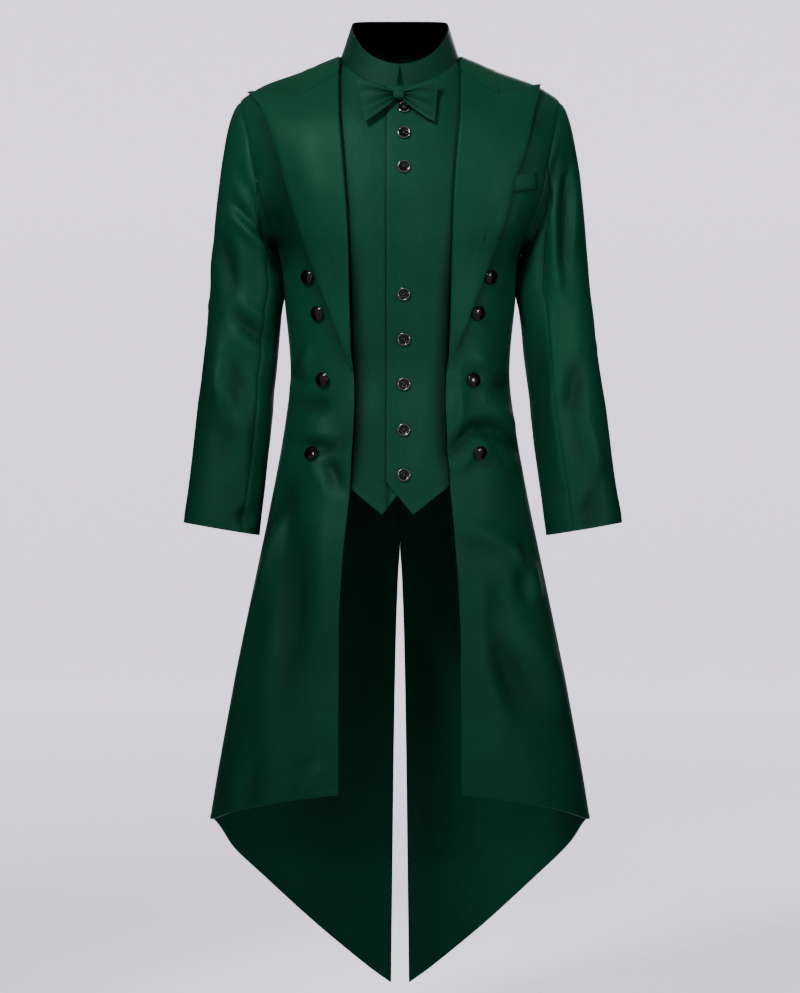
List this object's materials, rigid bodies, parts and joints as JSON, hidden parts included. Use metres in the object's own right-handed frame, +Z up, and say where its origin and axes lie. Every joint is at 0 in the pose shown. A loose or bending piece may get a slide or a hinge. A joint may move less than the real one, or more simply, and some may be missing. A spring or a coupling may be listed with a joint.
{
  "type": "tailcoat",
  "caption": "Long double-breasted tailcoat with peaked lapels, a sewn-in waistcoat front, stand collar and bow tie, filled out with no wearer.",
  "frame": {"origin": "middle of the neck opening, level with the points where the shoulder seams start, where the wearer's neck and shoulders carry the coat", "axes": "+Z up, -Y towards the front, +X towards the wearer's left"},
  "size_m": [0.6116, 0.3201, 1.3764],
  "materials": {
    "coat_cloth": "dark green satin-backed suiting, soft sheen",
    "vest_cloth": "dark green suiting, soft sheen",
    "button": "polished black"
  },
  "bodies": {
    "root": {"front_left": "coat_cloth", "front_right": "coat_cloth", "back_left": "coat_cloth", "back_right": "coat_cloth", "top_sleeve_left": "coat_cloth", "under_sleeve_left": "coat_cloth", "top_sleeve_right": "coat_cloth", "under_sleeve_right": "coat_cloth", "lapel_left": "coat_cloth", "lapel_right": "coat_cloth", "coat_collar": "coat_cloth", "breast_welt": "coat_cloth", "stand_collar": "vest_cloth", "vest_front_over": "vest_cloth", "vest_front_under": "vest_cloth", "bow_wing_left": "vest_cloth", "bow_wing_right": "vest_cloth", "bow_knot": "vest_cloth", "coat_button_left_1": "button", "coat_button_left_2": "button", "coat_button_left_3": "button", "coat_button_left_4": "button", "coat_button_right_1": "button", "coat_button_right_2": "button", "coat_button_right_3": "button", "coat_button_right_4": "button", "front_button_1": "button", "front_button_2": "button", "front_button_3": "button", "front_button_4": "button", "front_button_5": "button", "front_button_6": "button", "front_button_7": "button", "front_button_8": "button"}
  },
  "joints": []
}
